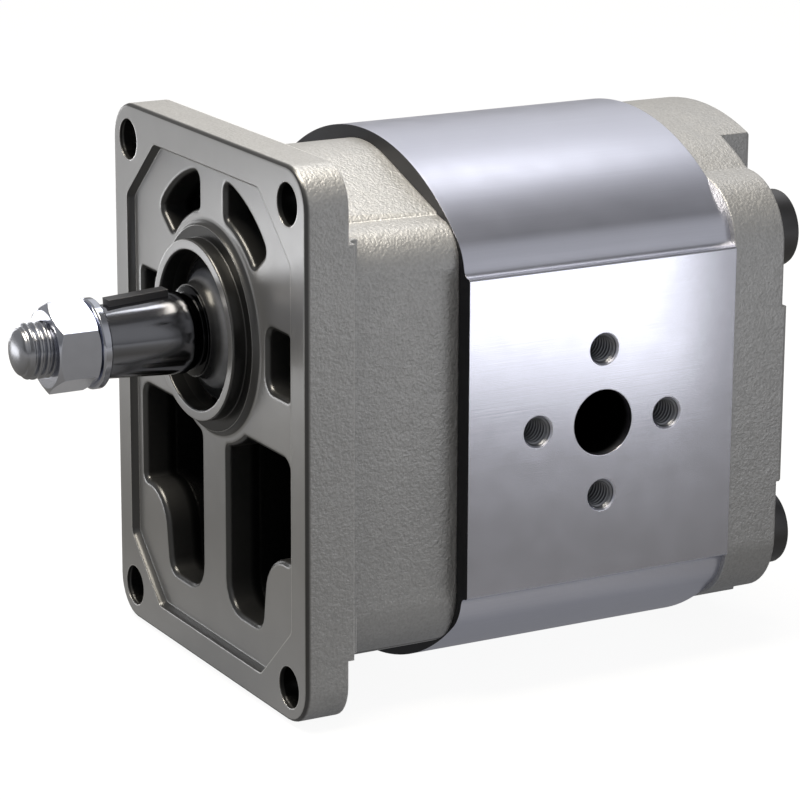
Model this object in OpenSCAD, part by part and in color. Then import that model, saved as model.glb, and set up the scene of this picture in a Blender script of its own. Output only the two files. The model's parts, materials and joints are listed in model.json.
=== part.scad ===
// External gear pump with a four-bolt flange, a tapered shaft end and side ports.
// Millimetres. The drive shaft lies along Y and the mounting face is the plane y = 0.
// The pump reaches back to +Y, its shaft end points to -Y, and +Z is up.

/* [Mounting flange] */
// Half of the width of the flange plate
flange_half_w = 43.1; // [42.5:0.1:48]
// Top edge of the flange plate above the shaft axis
flange_top = 39.5; // [38.5:0.1:46]
// Bottom edge of the flange plate below the shaft axis
flange_bottom = 71.2; // [70.5:0.1:78]
// Thickness of the flange plate
flange_t = 9.2; // [8:0.1:14]
// Corner radius of the flange plate
flange_corner_r = 8; // [5:0.5:10]
// Radius of the flange plate's front edge
flange_edge_r = 0.8; // [0.4:0.1:1.5]
// Distance from the axes of the flange holes to the sides of the flange plate
flange_hole_margin = 7.35; // [6.5:0.05:9]
// Distance between the flange holes up the pump
flange_hole_z = 96.2; // [94:0.1:98]
// Diameter of the flange holes
flange_hole_d = 8.5; // [6:0.1:9.5]
// Height of the upper flange holes above the shaft axis
flange_hole_top = 32.05; // [30:0.05:33]
// Diameter of the pilot spigot
pilot_d = 36.5; // [36:0.1:38]
// Height of the pilot spigot over the mounting face
pilot_h = 3; // [2:0.5:5]
// Depth of the recess in the mounting face
recess_depth = 1.5; // [1:0.1:2.5]
// Depth of the casting pockets behind the mounting face
pocket_depth = 27; // [22:0.5:28]
// Radius of the rounded rims of the casting pockets
pocket_rim_r = 1.2; // [0.6:0.1:1.6]
// Half of the width of the rib between the left and right pockets
rib_half_w = 4.6; // [3.5:0.1:6]
// Distance from the mounting face to the gear body
block_end = 35.3; // [34:0.1:44]
// How far the flange plate stands out past the sides of the block behind it
flange_lip = 3.7; // [2.5:0.1:5]
// Top of the block above the shaft axis
block_top = 35; // [34:0.1:36]
// Bottom of the block below the shaft axis
block_bottom = 64.5; // [64:0.1:67]

/* [Gear body] */
// Length of the extruded gear body
body_len = 61.7; // [58:0.1:90]
// How far the port faces stand out past the sides of the rear cover
port_face_stand = 0.4; // [0.2:0.1:1]
// Half of the height of the port faces
port_face_half_h = 32.4; // [30:0.1:33]
// Distance between the two gear axes
gear_centres = 34.5; // [34:0.1:35]
// Radius of the body's top and bottom faces
body_arc_r = 56; // [55:0.5:60]
// Half of the height of the body
body_half_h = 54.6; // [54:0.1:57]
// Radius of the body's four long edges
body_ear_r = 10; // [8:0.5:11]

/* [Ports] */
// Diameter of the outlet port
outlet_d = 13.5; // [10:0.5:15]
// Pitch circle of the outlet screws
outlet_pcd = 30; // [28:1:32]
// Diameter of the outlet screw thread
outlet_screw_d = 6; // [5:1:6]
// Diameter of the inlet port
inlet_d = 20; // [15:0.5:21]
// Pitch circle of the inlet screws
inlet_pcd = 40; // [38:1:42]
// Diameter of the inlet screw thread
inlet_screw_d = 8; // [6:1:8]
// Depth of the ports before they narrow
port_depth = 20; // [17:0.5:21]

/* [Rear cover] */
// Thickness of the cover at its bolt seats
cover_base_t = 11.8; // [10:0.1:16]
// Height of the upright pad over the bolt seats
cover_pad_h = 7.7; // [4:0.1:9]
// Half of the width of the upright pad
cover_pad_half_w = 19.3; // [17:0.1:20]
// Height of the level band over the bolt seats
cover_band_h = 1.7; // [1:0.1:3]
// Half of the height of the level band
cover_band_half_h = 18.4; // [15:0.1:19]
// Half of the width of the cover
cover_half_w = 43.2; // [42.5:0.1:47]
// Radius of the cover's round top and bottom, about the body's middle
cover_arc_r = 53.4; // [52.5:0.1:54]

/* [Body bolts] */
// Thread diameter of the body bolts
bolt_d = 10; // [8:1:10]
// Distance from the pump's middle plane to the bolt axes
bolt_x = 26.5; // [26:0.1:27.5]
// Height of the upper bolts above the shaft axis
bolt_top = 13.6; // [13:0.1:15]
// Depth of the lower bolts below the shaft axis
bolt_bottom = 50.9; // [49:0.1:52]
// Length of bolt thread in the flange block
bolt_grip = 16.5; // [14:0.5:18]

/* [Gears and bearings] */
// Number of teeth on each gear
teeth = 12; // [11:1:14]
// Width of the gears
gear_w = 21.7; // [16:0.1:26]
// Pressure angle of the teeth
pressure_angle = 25; // [24:0.5:27]
// Diameter of the shaft journals
journal_d = 18; // [17.6:0.1:18.6]
// Wall of the bearing bushes
bush_wall = 1.5; // [1:0.1:2]

/* [Shaft end] */
// Diameter of the taper where it would meet the mounting face
taper_d = 17.4; // [16:0.1:17.6]
// Distance from the mounting face to the big end of the taper
taper_start = 5.6; // [5:0.1:7]
// Distance from the mounting face to the small end of the taper
taper_end = 24; // [22:0.1:28]
// Distance from the mounting face to the tip of the thread
shaft_tip = 41.4; // [40:0.1:46]
// Diameter over the thread
thread_d = 11.2; // [10:0.1:12]
// Width of the key
key_w = 3; // [2.5:0.1:4]
// Height of the key
key_h = 3.2; // [2.8:0.1:4]
// Length of the key
key_len = 12.8; // [9:0.1:14]
// Width of the nut across its flats
nut_flats = 16; // [15:0.1:18]
// Thickness of the nut
nut_t = 8.9; // [7:0.1:9.5]
// Diameter of the washer
washer_d = 18; // [16:0.1:20]
// Thickness of the washer
washer_t = 1.9; // [1.5:0.1:2.5]

/* [Shaft seal] */
// Diameter of the seal's seat in the pilot
seal_d = 32.2; // [31.5:0.1:32.5]
// Width of the shaft seal
seal_w = 7; // [7:0.5:9]
// Distance from the mounting face to the circlip groove
circlip_y = 3; // [2.8:0.1:4]
// Thickness of the circlip
circlip_t = 1.2; // [1:0.1:1.5]

/* [Clearances] */
// Radial clearance of a journal in its bush
running_gap = 0.03; // [0.02:0.01:0.06]
// Radial clearance of the gear tips in the body
tip_gap = 0.05; // [0.04:0.01:0.08]
// Backlash between the gears
backlash = 0.12; // [0.1:0.01:0.2]
// Clearance between a gear's side and its bearing block
side_gap = 0.05; // [0.03:0.01:0.1]
// Radial clearance of the body bolts in their through holes
bolt_gap = 0.25; // [0.2:0.05:0.4]

/* [Hidden] */
$fn = 96;
// Overlap of a cut past the face that it opens
cut = 1;

// Places across the pump
flange_hole_x = 2 * (flange_half_w - flange_hole_margin);
block_half_w = flange_half_w - flange_lip;
port_face_x = cover_half_w + port_face_stand;

// Places along and up the pump
mid_z = -gear_centres / 2;
flange_mid_z = flange_hole_top - flange_hole_z / 2;
body_end = block_end + body_len;
port_y = block_end + body_len / 2;
seat_y = body_end + cover_base_t;
pad_end = seat_y + cover_pad_h;
bolt_tip = block_end - bolt_grip;
bolt_places = [for (side = [-1, 1], z = [bolt_top, -bolt_bottom]) [side * bolt_x, z]];

// Flange details
pilot_chamfer = 0.2;
land_r = pilot_d / 2 + 2.45;
land_fillet = 1.5;
recess_border = 6.2;
recess_slope = 0.8;
recess_cut = [13.4, 12.6];
recess_corner_r = 2.2;
pocket_draft = 0.5;
// Run of a pocket's rim past the recess floor
rim_run = 0.3;
pocket_inner_r = land_r + land_fillet + 0.6;
upper_pocket_w = 9.6;
upper_pocket_r = pocket_inner_r + upper_pocket_w;
// Angle of an upper pocket's lower end, and the angle that its rounded corners take at each end
upper_pocket_a = 38;
upper_corner_a = 9;
pocket_side_x = block_half_w - 4.9;
side_pocket_x = pocket_inner_r - 0.2;
side_pocket_z = [-8.1, 6.5];
lower_pocket_z = [-58, -18.1];
lower_boss_inset = 3.5;
lower_boss = [pocket_side_x - lower_boss_inset, -49];
lower_boss_r = 7.8;
lower_foot_run = 9.1;
// Points of the pockets from which their whole outlines are seen
upper_eye = [(upper_pocket_r - 3) * cos(58), (upper_pocket_r - 3) * sin(58)];
side_eye = [(side_pocket_x + pocket_side_x) / 2, (side_pocket_z[0] + side_pocket_z[1]) / 2];
lower_eye = [11, -34];
boss_r = bolt_d / 2 + 3.5;
boss_cover = 4;
drill_run = 2;
step_t = 1.3;
step_z = [-58, 24.8];
step_fillet_r = 2.5;
block_arc_r = 51.2;
block_ear_r = block_half_w - bolt_x;
block_ear_lift = 1.3;
// Round crest of the block's roof-shaped top, and the slope of its flanks
block_crest_r = 28;
block_roof_a = 19.3;
// Round upper corners of the block, their depth below its top, and the angle at which their ledges start
block_corner_r = 8.6;
block_corner_drop = 18.2;
block_ledge_a = 68;
// Distance from the block's side to the step between roof and ledge, and the step's height, at the flange and the body
block_step_in = [12, 9.1];
block_step_h = [1.8, 0.5];
valley_r = 2.5;
shaft_passage_r = journal_d / 2 + 2.6;

// Body details
body_side_x = port_face_x - 2.2;
pad_fillet_r = 1.85;
pad_chamfer = 0.35;
seal_groove_w = 2.4;
seal_groove_depth = 2;
dowel_x = 31.5;
dowel_d = 6;
dowel_len = 12;
port_step = 1.5;
outlet_screw_depth = 12;
inlet_screw_depth = 15;
countersink = 0.35;

// Gear details
module_mm = gear_centres / teeth;
pitch_r = gear_centres / 2;
tip_r = pitch_r + module_mm;
root_r = pitch_r - 1.25 * module_mm;
root_fillet = 0.8;
base_r = pitch_r * cos(pressure_angle);
flank_steps = 6;
chamber_r = tip_r + tip_gap;
seal_groove_r = chamber_r + 2.2;
block_r = chamber_r - running_gap;
bearing_len = (body_len - gear_w) / 2 - side_gap;
gear_y = port_y - gear_w / 2 + side_gap;
gear_len = gear_w - 2 * side_gap;
journal_end_gap = 0.6;
journal_chamfer = 0.5;
bush_bore_r = journal_d / 2 + running_gap;
bush_r = journal_d / 2 + bush_wall;
bush_recess = 0.5;
pressure_r = 16.2;
pressure_waist = 6;
pressure_clip = 4;
pressure_groove_w = 3.2;
pressure_groove_depth = 2.4;
backup_w = 1;
relief = [5.5, 2, 9];
relief_x = 4;

// Rear cover details
cover_ear_r = 13.7;
cover_ear_x = cover_half_w - cover_ear_r;
cover_ear_z = [-47.6, 13.7];
cover_chamfer = 1;
head_room = 0.8;

// Bolt details
bolt_head_r = 0.8 * bolt_d;
bolt_head_h = bolt_d;
bolt_key_flats = 0.8 * bolt_d;
bolt_key_depth = bolt_d / 2;
bolt_edge = 0.6;
bolt_point = 1;

// Shaft end details
taper_slope = 1 / 16;
taper_round = 0.8;
undercut_r = journal_d / 2 - 1.2;
undercut_end = 3.7;
dome = 1.6;
dome_r = 4.7;
thread_chamfer = 0.9;
thread_relief = 0.7;
thread_relief_len = 1.2;
key_from_end = 2.4;
key_stand = 1.2;
nut_chamfer_angle = 30;
washer_gap = 0.4;
washer_edge = 0.3;

// Seal details
seal_y = circlip_y + circlip_t;
lip_y = seal_y + 4.4;
spring_wire_r = 0.6;
spring_r = bush_bore_r + 1.9;
circlip_groove = 0.75;
circlip_play = 0.15;
circlip_w = 2.6;
circlip_gap_angle = 26;
circlip_lug_r = 2.1;
circlip_hole_r = 1;
dust_ring_y = -3.3;
dust_ring_end = 2.5;
dust_ring_lip_r = journal_d / 2 + 5.6;
dust_ring_edge = 0.3;

function unit(v) = v / norm(v);

function polar(r, a) = [r * cos(a), r * sin(a)];

function angle_of(v) = atan2(v[1], v[0]);

// A point with the radius of its rounded corner
function bend(p, r) = [p[0], p[1], r];

// Points along an arc about c, from angle a0 to a1 in n steps
function arc(c, r, a0, a1, n) = [for (i = [0:n]) c + polar(r, a0 + (a1 - a0) * i / n)];

// Arc of radius r that rounds the corner p1 between the edges to p0 and p2
function corner(p0, p1, p2, r, n) =
    let (
        u = unit(p0 - p1),
        v = unit(p2 - p1),
        half = acos(u * v) / 2,
        c = p1 + unit(u + v) * r / sin(half),
        a0 = angle_of(p1 + u * r / tan(half) - c),
        a1 = angle_of(p1 + v * r / tan(half) - c),
        turn = (a1 - a0 + 540) % 360 - 180
    )
    arc(c, r, a0, a0 + turn, n);

// Closed outline through corners [x, z, r], where r = 0 keeps the corner sharp
function rounded(list, n = 5) =
    let (m = len(list), p = [for (q = list) [q[0], q[1]]])
    [for (i = [0:m - 1])
        each list[i][2] == 0 ? [p[i]] : corner(p[(i + m - 1) % m], p[i], p[(i + 1) % m], list[i][2], n)];

// Anticlockwise outline moved outwards by d, or inwards where d is negative
function moved(pts, d) =
    let (m = len(pts))
    [for (i = [0:m - 1])
        let (
            e0 = unit(pts[i] - pts[(i + m - 1) % m]),
            e1 = unit(pts[(i + 1) % m] - pts[i]),
            n = unit([e0[1] + e1[1], -e0[0] - e1[0]]),
            stretch = 1 / max(0.5, n * [e1[1], -e1[0]])
        )
        pts[i] + d * stretch * n];

function mirrored(pts) = [for (i = [len(pts) - 1:-1:0]) [-pts[i][0], pts[i][1]]];

function flipped(pts, z) = [for (i = [len(pts) - 1:-1:0]) [pts[i][0], 2 * z - pts[i][1]]];

function both_sides(right_half) = concat(right_half, mirrored(right_half));

// Centre of the circle of radius r that touches two circles from outside, on the left of the way from c1 to c2
function touching(c1, r1, c2, r2, r) =
    let (
        d = c2 - c1,
        l = norm(d),
        a = (pow(r1 + r, 2) - pow(r2 + r, 2) + l * l) / (2 * l),
        h = sqrt(pow(r1 + r, 2) - a * a)
    )
    c1 + a * unit(d) + h * [-d[1], d[0]] / l;

// Upper right quarter of a round outline with an ear, from the ear's side to the top
function eared_quarter(arc_c, arc_r, ear_c, ear_r, r) =
    let (
        f = touching(arc_c, arc_r, ear_c, ear_r, r),
        ear_a = angle_of(f - ear_c),
        arc_a = angle_of(f - arc_c)
    )
    concat(
        arc(ear_c, ear_r, 0, ear_a, 12),
        arc(f, r, ear_a + 180, arc_a + 180, 3),
        arc(arc_c, arc_r, arc_a, 89, 16)
    );

// Involute of a circle of radius r, unrolled by the angle t
function involute(r, t) = r * [cos(t) + t * PI / 180 * sin(t), sin(t) - t * PI / 180 * cos(t)];

function turned_by(p, a) = [p[0] * cos(a) - p[1] * sin(a), p[0] * sin(a) + p[1] * cos(a)];

// Gear outline with a tooth at angle phase
function gear_outline(phase) =
    let (
        inv = tan(pressure_angle) * 180 / PI - pressure_angle,
        thickness = PI * module_mm / 2 - backlash / 2,
        half = thickness / (2 * pitch_r) * 180 / PI + inv,
        t_end = sqrt(pow(tip_r / base_r, 2) - 1) * 180 / PI,
        rise = [for (i = [0:flank_steps]) turned_by(involute(base_r, t_end * i / flank_steps), -half)],
        fall = [for (i = [flank_steps:-1:0]) [rise[i][0], -rise[i][1]]],
        foot_a = half + root_fillet / root_r * 180 / PI,
        tooth = concat(
            [polar(root_r, -foot_a), polar(root_r + root_fillet, -half)],
            rise,
            fall,
            [polar(root_r + root_fillet, half), polar(root_r, foot_a)]
        )
    )
    [for (k = [0:teeth - 1], p = tooth) turned_by(p, phase + k * 360 / teeth)];

function cone_r(y) = taper_d / 2 + y * taper_slope;

// Puts an outline drawn in X and Z at y and gives it a length along +Y
module along_y(y, length) {
    translate([0, y + length, 0]) rotate([90, 0, 0]) linear_extrude(length) children();
}

// Turns a profile of [radius, y] points about the shaft axis
module turned(profile) {
    rotate([-90, 0, 0]) rotate_extrude() polygon(profile);
}

module rod(r, y, length) {
    along_y(y, length) circle(r);
}

module at_each(places) {
    for (p = places) translate([p[0], 0, p[1]]) children();
}

module at_both_gears() {
    at_each([[0, 0], [0, -gear_centres]]) children();
}

// Solid through closed rings [outline, y] of equal point counts. Its ends are fans about the point eye.
module loft(rings, eye) {
    n = len(rings[0][0]);
    last = len(rings) - 1;
    hub = n * len(rings);
    points = [for (ring = rings, p = ring[0]) [p[0], ring[1], p[1]]];
    hubs = [for (ring = [rings[0], rings[last]]) [eye[0], ring[1], eye[1]]];
    sides = [for (k = [0:last - 1], i = [0:n - 1])
        [k * n + i, k * n + (i + 1) % n, (k + 1) * n + (i + 1) % n, (k + 1) * n + i]];
    front = [for (i = [0:n - 1]) [(i + 1) % n, i, hub]];
    back = [for (i = [0:n - 1]) [last * n + i, last * n + (i + 1) % n, hub + 1]];
    polyhedron(concat(points, hubs), concat(front, sides, back));
}

// Outline round both gear axes
module figure_eight(r) {
    circle(r);
    translate([0, -gear_centres]) circle(r);
}

// Figure eight with a straight waist
module waisted_eight(r, waist) {
    figure_eight(r);
    translate([-waist, -gear_centres]) square([2 * waist, gear_centres]);
}

module racetrack(r, w) {
    difference() {
        waisted_eight(r + w / 2, r + w / 2);
        waisted_eight(r - w / 2, r - w / 2);
    }
}

// Band in the shape of a 3, open towards the inlet
module three_band(r, w) {
    waist = pressure_waist + r - pressure_r;
    intersection() {
        difference() {
            waisted_eight(r + w / 2, waist + w / 2);
            waisted_eight(r - w / 2, waist - w / 2);
        }
        translate([-pressure_clip, -2 * gear_centres]) square([3 * gear_centres, 3 * gear_centres]);
    }
}

// Outlines of the flange and the block behind it
plate_outline = rounded([
    [-flange_half_w, -flange_bottom, flange_corner_r], [flange_half_w, -flange_bottom, flange_corner_r],
    [flange_half_w, flange_top, flange_corner_r], [-flange_half_w, flange_top, flange_corner_r]
], 8);

recess_half = [flange_half_w - recess_border, (flange_top + flange_bottom) / 2 - recess_border];
recess_outline = rounded([for (s = [[-1, -1], [1, -1], [1, 1], [-1, 1]], k = [0, 1])
    let (first = s[0] == s[1] ? k == 0 : k == 1)
    [
        s[0] * (recess_half[0] - (first ? 0 : recess_cut[0])),
        s[1] * (recess_half[1] - (first ? recess_cut[1] : 0)) + flange_mid_z,
        recess_corner_r
    ]], 3);

// Height of the block's roof at x, on its flank
function roof_z(x) =
    block_top - block_crest_r * (1 - cos(block_roof_a)) - (x - block_crest_r * sin(block_roof_a)) * tan(block_roof_a);

// Outline of the block, whose roof steps down by h to the ledges at the distance inset from its sides
function block_outline(inset, h) =
    let (x = block_half_w - inset, z = roof_z(x))
    both_sides(concat(
        flipped(eared_quarter([0, block_bottom - block_arc_r], block_arc_r,
            [bolt_x, bolt_bottom - block_ear_lift], block_ear_r, valley_r), 0),
        arc([block_half_w - block_corner_r, block_top - block_corner_drop], block_corner_r, 0, block_ledge_a, 8),
        [[x + h / 2, z - h], [x, z]],
        arc([0, block_top - block_crest_r], block_crest_r, 90 - block_roof_a, 89, 6)
    ));

// Casting pockets of the flange, drawn for the right half
upper_pocket = rounded(concat(
    [[rib_half_w, sqrt(pow(pocket_inner_r, 2) - pow(rib_half_w, 2)), 2.6]],
    [for (p = arc([0, 0], pocket_inner_r, acos(rib_half_w / pocket_inner_r) - upper_corner_a,
        upper_pocket_a + upper_corner_a, 5)) bend(p, 0)],
    [bend(polar(pocket_inner_r, upper_pocket_a), 2.6), bend(polar(upper_pocket_r, upper_pocket_a), 2.8)],
    [for (p = arc([0, 0], upper_pocket_r, upper_pocket_a + upper_corner_a,
        acos(rib_half_w / upper_pocket_r) - upper_corner_a, 6)) bend(p, 0)],
    [[rib_half_w, sqrt(pow(upper_pocket_r, 2) - pow(rib_half_w, 2)), 2.8]]
));

side_pocket = rounded([
    [side_pocket_x, side_pocket_z[0], 3.8], [pocket_side_x, side_pocket_z[0], 2],
    [pocket_side_x, side_pocket_z[1], 2], [side_pocket_x, side_pocket_z[1], 3.8]
]);

lower_pocket = rounded(concat(
    [[rib_half_w, lower_pocket_z[0], 7], [lower_boss[0] - lower_foot_run, lower_pocket_z[0], 4.2]],
    [for (p = arc(lower_boss, lower_boss_r, 176, 96, 7)) bend(p, 0)],
    [[pocket_side_x, lower_boss[1] + lower_boss_r, 2.4], [pocket_side_x, lower_pocket_z[1], 4]],
    [[sqrt(pow(pocket_inner_r, 2) - pow(lower_pocket_z[1], 2)), lower_pocket_z[1], 2]],
    [for (p = arc([0, 0], pocket_inner_r, -58, -70, 3)) bend(p, 0)],
    [[rib_half_w, -sqrt(pow(pocket_inner_r, 2) - pow(rib_half_w, 2)), 2.4]]
));

// Outline of the gear body, with its port faces and round top and bottom
body_quarter =
    let (
        pad_top = mid_z + port_face_half_h,
        arc_c = [0, mid_z + body_half_h - body_arc_r],
        ear_x = body_side_x - body_ear_r,
        ear_c = [ear_x, arc_c[1] + sqrt(pow(body_arc_r - body_ear_r, 2) - ear_x * ear_x)],
        rise = pad_top + pad_fillet_r - ear_c[1],
        f = [ear_x + sqrt(pow(body_ear_r + pad_fillet_r, 2) - rise * rise), pad_top + pad_fillet_r],
        side_a = angle_of(f - ear_c),
        arc_a = angle_of(ear_c - arc_c)
    )
    concat(
        [[port_face_x, pad_top - pad_chamfer], [port_face_x - pad_chamfer, pad_top]],
        arc(f, pad_fillet_r, 270, 180 + side_a, 4),
        arc(ear_c, body_ear_r, side_a, arc_a, 8),
        arc(arc_c, body_arc_r, arc_a + 2, 89, 20)
    );
body_outline = both_sides(concat(flipped(body_quarter, mid_z), body_quarter));

// Outlines of the rear cover and its upright pad
cover_outline = both_sides(concat(
    flipped(eared_quarter([0, -mid_z], cover_arc_r, [cover_ear_x, -cover_ear_z[0]], cover_ear_r, valley_r), 0),
    eared_quarter([0, mid_z], cover_arc_r, [cover_ear_x, cover_ear_z[1]], cover_ear_r, valley_r)
));
pad_quarter = arc([0, mid_z], cover_arc_r, acos(cover_pad_half_w / cover_arc_r), 89, 6);
pad_outline = both_sides(concat(flipped(pad_quarter, mid_z), pad_quarter));

// Material taken away by one casting pocket, with a rounded rim and drafted walls
module pocket(outline, eye) {
    rim = [for (a = [30:30:90])
        [moved(outline, -pocket_rim_r * sin(a)), recess_depth + pocket_rim_r * (1 - cos(a))]];
    loft(concat(
        [[moved(outline, rim_run), recess_depth - rim_run * tan(15)]],
        rim,
        [[moved(outline, -pocket_rim_r - pocket_draft), pocket_depth]]
    ), eye);
}

// Recess of the mounting face, round the land of the pilot
module recess() {
    difference() {
        loft([
            [recess_outline, -cut], [recess_outline, recess_slope / 3],
            [moved(recess_outline, -recess_slope / 3), recess_slope],
            [moved(recess_outline, -recess_slope), recess_depth]
        ], [0, flange_mid_z]);
        turned([
            [0, -2 * cut], [land_r, -2 * cut], [land_r, 0], [land_r + land_fillet / 4, recess_depth / 2],
            [land_r + land_fillet * 7 / 4, recess_depth * 3 / 2], [0, recess_depth * 3 / 2]
        ]);
    }
}

// Step behind the flange plate that runs into the block's side with a fillet
module side_step() {
    x = block_half_w;
    y = flange_t + step_t;
    profile = concat(
        [[x - cut, flange_t - cut], [flange_half_w, flange_t - cut], [flange_half_w, y]],
        arc([x + step_fillet_r, y + step_fillet_r], step_fillet_r, 270, 180, 5),
        [[x - cut, y + step_fillet_r]]
    );
    translate([0, 0, step_z[0]]) linear_extrude(step_z[1] - step_z[0]) polygon(profile);
}

module pilot() {
    r = pilot_d / 2;
    turned([[0, -pilot_h], [r - pilot_chamfer, -pilot_h], [r, pilot_chamfer - pilot_h], [r, cut], [0, cut]]);
}

// Seat of the shaft seal with the circlip groove, and the passage of the shaft behind it
module flange_bore() {
    r = seal_d / 2;
    groove_end = circlip_y + circlip_t;
    turned([
        [0, -pilot_h - cut], [r + pilot_chamfer + cut, -pilot_h - cut], [r, pilot_chamfer - pilot_h],
        [r, circlip_y], [r + circlip_groove, circlip_y], [r + circlip_groove, groove_end], [r, groove_end],
        [r, seal_y + seal_w], [shaft_passage_r, seal_y + seal_w], [shaft_passage_r, block_end + cut],
        [0, block_end + cut]
    ]);
}

module dowel_holes(y) {
    at_each([[-dowel_x, mid_z], [dowel_x, mid_z]]) rod(dowel_d / 2, y - dowel_len / 2, dowel_len);
}

module mounting_flange() color("dimgray") {
    difference() {
        union() {
            loft([
                [moved(plate_outline, -flange_edge_r), 0],
                [moved(plate_outline, -0.3 * flange_edge_r), 0.3 * flange_edge_r],
                [plate_outline, flange_edge_r], [plate_outline, flange_t]
            ], [0, flange_mid_z]);
            loft([
                [block_outline(block_step_in[0], block_step_h[0]), flange_t - cut],
                [block_outline(block_step_in[1], block_step_h[1]), block_end]
            ], [0, flange_mid_z]);
            side_step();
            mirror([1, 0, 0]) side_step();
            pilot();
        }
        difference() {
            union() {
                recess();
                for (shape = [[upper_pocket, upper_eye], [side_pocket, side_eye], [lower_pocket, lower_eye]]) {
                    pocket(shape[0], shape[1]);
                    mirror([1, 0, 0]) pocket(shape[0], shape[1]);
                }
            }
            at_each(bolt_places) rod(boss_r, bolt_tip - drill_run - boss_cover, block_end);
        }
        flange_bore();
        for (x = [-flange_hole_x / 2, flange_hole_x / 2], z = [-flange_hole_z / 2, flange_hole_z / 2])
            translate([x, 0, z + flange_mid_z]) rod(flange_hole_d / 2, -cut, flange_t + 2 * cut);
        at_each(bolt_places) rod(bolt_d / 2, bolt_tip - drill_run, block_end);
        dowel_holes(block_end);
    }
}

// Port with its ring of screw holes, drilled in from the port face on the +X side. It narrows before the gears.
module port(d, pcd, screw_d, screw_depth) {
    at_face = [port_face_x, port_y, mid_z];
    translate(at_face) rotate([0, -90, 0]) {
        rotate_extrude() polygon([
            [0, -cut], [d / 2, -cut], [d / 2, port_depth], [d / 2 - port_step, port_depth + port_step],
            [d / 2 - port_step, port_face_x], [0, port_face_x]
        ]);
        for (a = [0:90:270]) rotate(a) translate([pcd / 2, 0, 0]) {
            translate([0, 0, -cut]) cylinder(r = screw_d / 2, h = screw_depth + cut);
            cylinder(r1 = screw_d / 2 + countersink, r2 = screw_d / 2, h = countersink);
        }
    }
}

module gear_housing() color("silver") {
    difference() {
        along_y(block_end, body_len) polygon(body_outline);
        along_y(block_end - cut, body_len + 2 * cut) figure_eight(chamber_r);
        port(outlet_d, outlet_pcd, outlet_screw_d, outlet_screw_depth);
        mirror([1, 0, 0]) port(inlet_d, inlet_pcd, inlet_screw_d, inlet_screw_depth);
        at_each(bolt_places) rod(bolt_d / 2 + bolt_gap, block_end - cut, body_len + 2 * cut);
        dowel_holes(block_end);
        dowel_holes(body_end);
        along_y(block_end - cut, seal_groove_depth + cut) racetrack(seal_groove_r, seal_groove_w);
        along_y(body_end - seal_groove_depth, seal_groove_depth + cut) racetrack(seal_groove_r, seal_groove_w);
    }
}

module rear_cover() color("gray") {
    difference() {
        union() {
            along_y(body_end, cover_base_t) polygon(cover_outline);
            loft([
                [pad_outline, body_end + cut], [pad_outline, pad_end - cover_chamfer],
                [moved(pad_outline, -cover_chamfer), pad_end]
            ], [0, mid_z]);
            translate([0, 0, mid_z - cover_band_half_h]) linear_extrude(2 * cover_band_half_h) polygon([
                [-cover_half_w, body_end + cut], [cover_half_w, body_end + cut],
                [cover_half_w, seat_y + cover_band_h - cover_chamfer],
                [cover_half_w - cover_chamfer, seat_y + cover_band_h],
                [cover_chamfer - cover_half_w, seat_y + cover_band_h],
                [-cover_half_w, seat_y + cover_band_h - cover_chamfer]
            ]);
        }
        at_each(bolt_places) rod(bolt_head_r + head_room, seat_y, cover_pad_h + cut);
        at_each(bolt_places) rod(bolt_d / 2 + bolt_gap, body_end - cut, cover_base_t + 2 * cut);
        dowel_holes(body_end);
    }
}

module body_bolt() {
    r = bolt_d / 2;
    head_end = seat_y + bolt_head_h;
    difference() {
        turned([
            [0, bolt_tip], [r - bolt_point, bolt_tip], [r, bolt_tip + bolt_point], [r, seat_y], [bolt_head_r, seat_y],
            [bolt_head_r, head_end - bolt_edge], [bolt_head_r - bolt_edge, head_end], [0, head_end]
        ]);
        along_y(head_end - bolt_key_depth, bolt_key_depth + cut) circle(bolt_key_flats / 2 / cos(30), $fn = 6);
    }
}

module body_bolts() color("#2b2c2e") {
    at_each(bolt_places) body_bolt();
}

// Key on the taper, lying along the cone
module key_block() {
    start = key_from_end - taper_end;
    translate([0, start, cone_r(start) + key_stand]) rotate([atan(taper_slope), 0, 0])
        translate([-key_w / 2, 0, -key_h]) cube([key_w, key_len, key_h]);
}

module drive_gear_shaft() color("slategray") {
    journal_r = journal_d / 2;
    thread_r = thread_d / 2;
    end = body_end - journal_end_gap;
    difference() {
        union() {
            turned([
                [0, -shaft_tip], [dome_r * 0.6, -shaft_tip + dome * 0.25], [dome_r, -shaft_tip + dome],
                [thread_r, -shaft_tip + dome + thread_chamfer], [thread_r, -taper_end - thread_relief_len],
                [thread_r - thread_relief, -taper_end - thread_relief_len], [thread_r - thread_relief, -taper_end],
                [cone_r(-taper_end), -taper_end], [cone_r(-taper_start - taper_round), -taper_start - taper_round],
                [cone_r(-taper_start) - taper_round / 4, -taper_start - taper_round / 4],
                [undercut_r, -taper_start], [undercut_r, -undercut_end - taper_round / 2],
                [journal_r, -undercut_end], [journal_r, end - journal_chamfer],
                [journal_r - journal_chamfer, end], [0, end]
            ]);
            along_y(gear_y, gear_len) polygon(gear_outline(-90));
        }
        key_block();
    }
}

module driven_gear_shaft() color("slategray") {
    r = journal_d / 2;
    start = block_end + journal_end_gap;
    end = body_end - journal_end_gap;
    translate([0, 0, -gear_centres]) {
        turned([
            [0, start], [r - journal_chamfer, start], [r, start + journal_chamfer],
            [r, end - journal_chamfer], [r - journal_chamfer, end], [0, end]
        ]);
        along_y(gear_y, gear_len) polygon(gear_outline(90 + 180 / teeth));
    }
}

module shaft_key() color("#3a3d42") {
    key_block();
}

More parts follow.
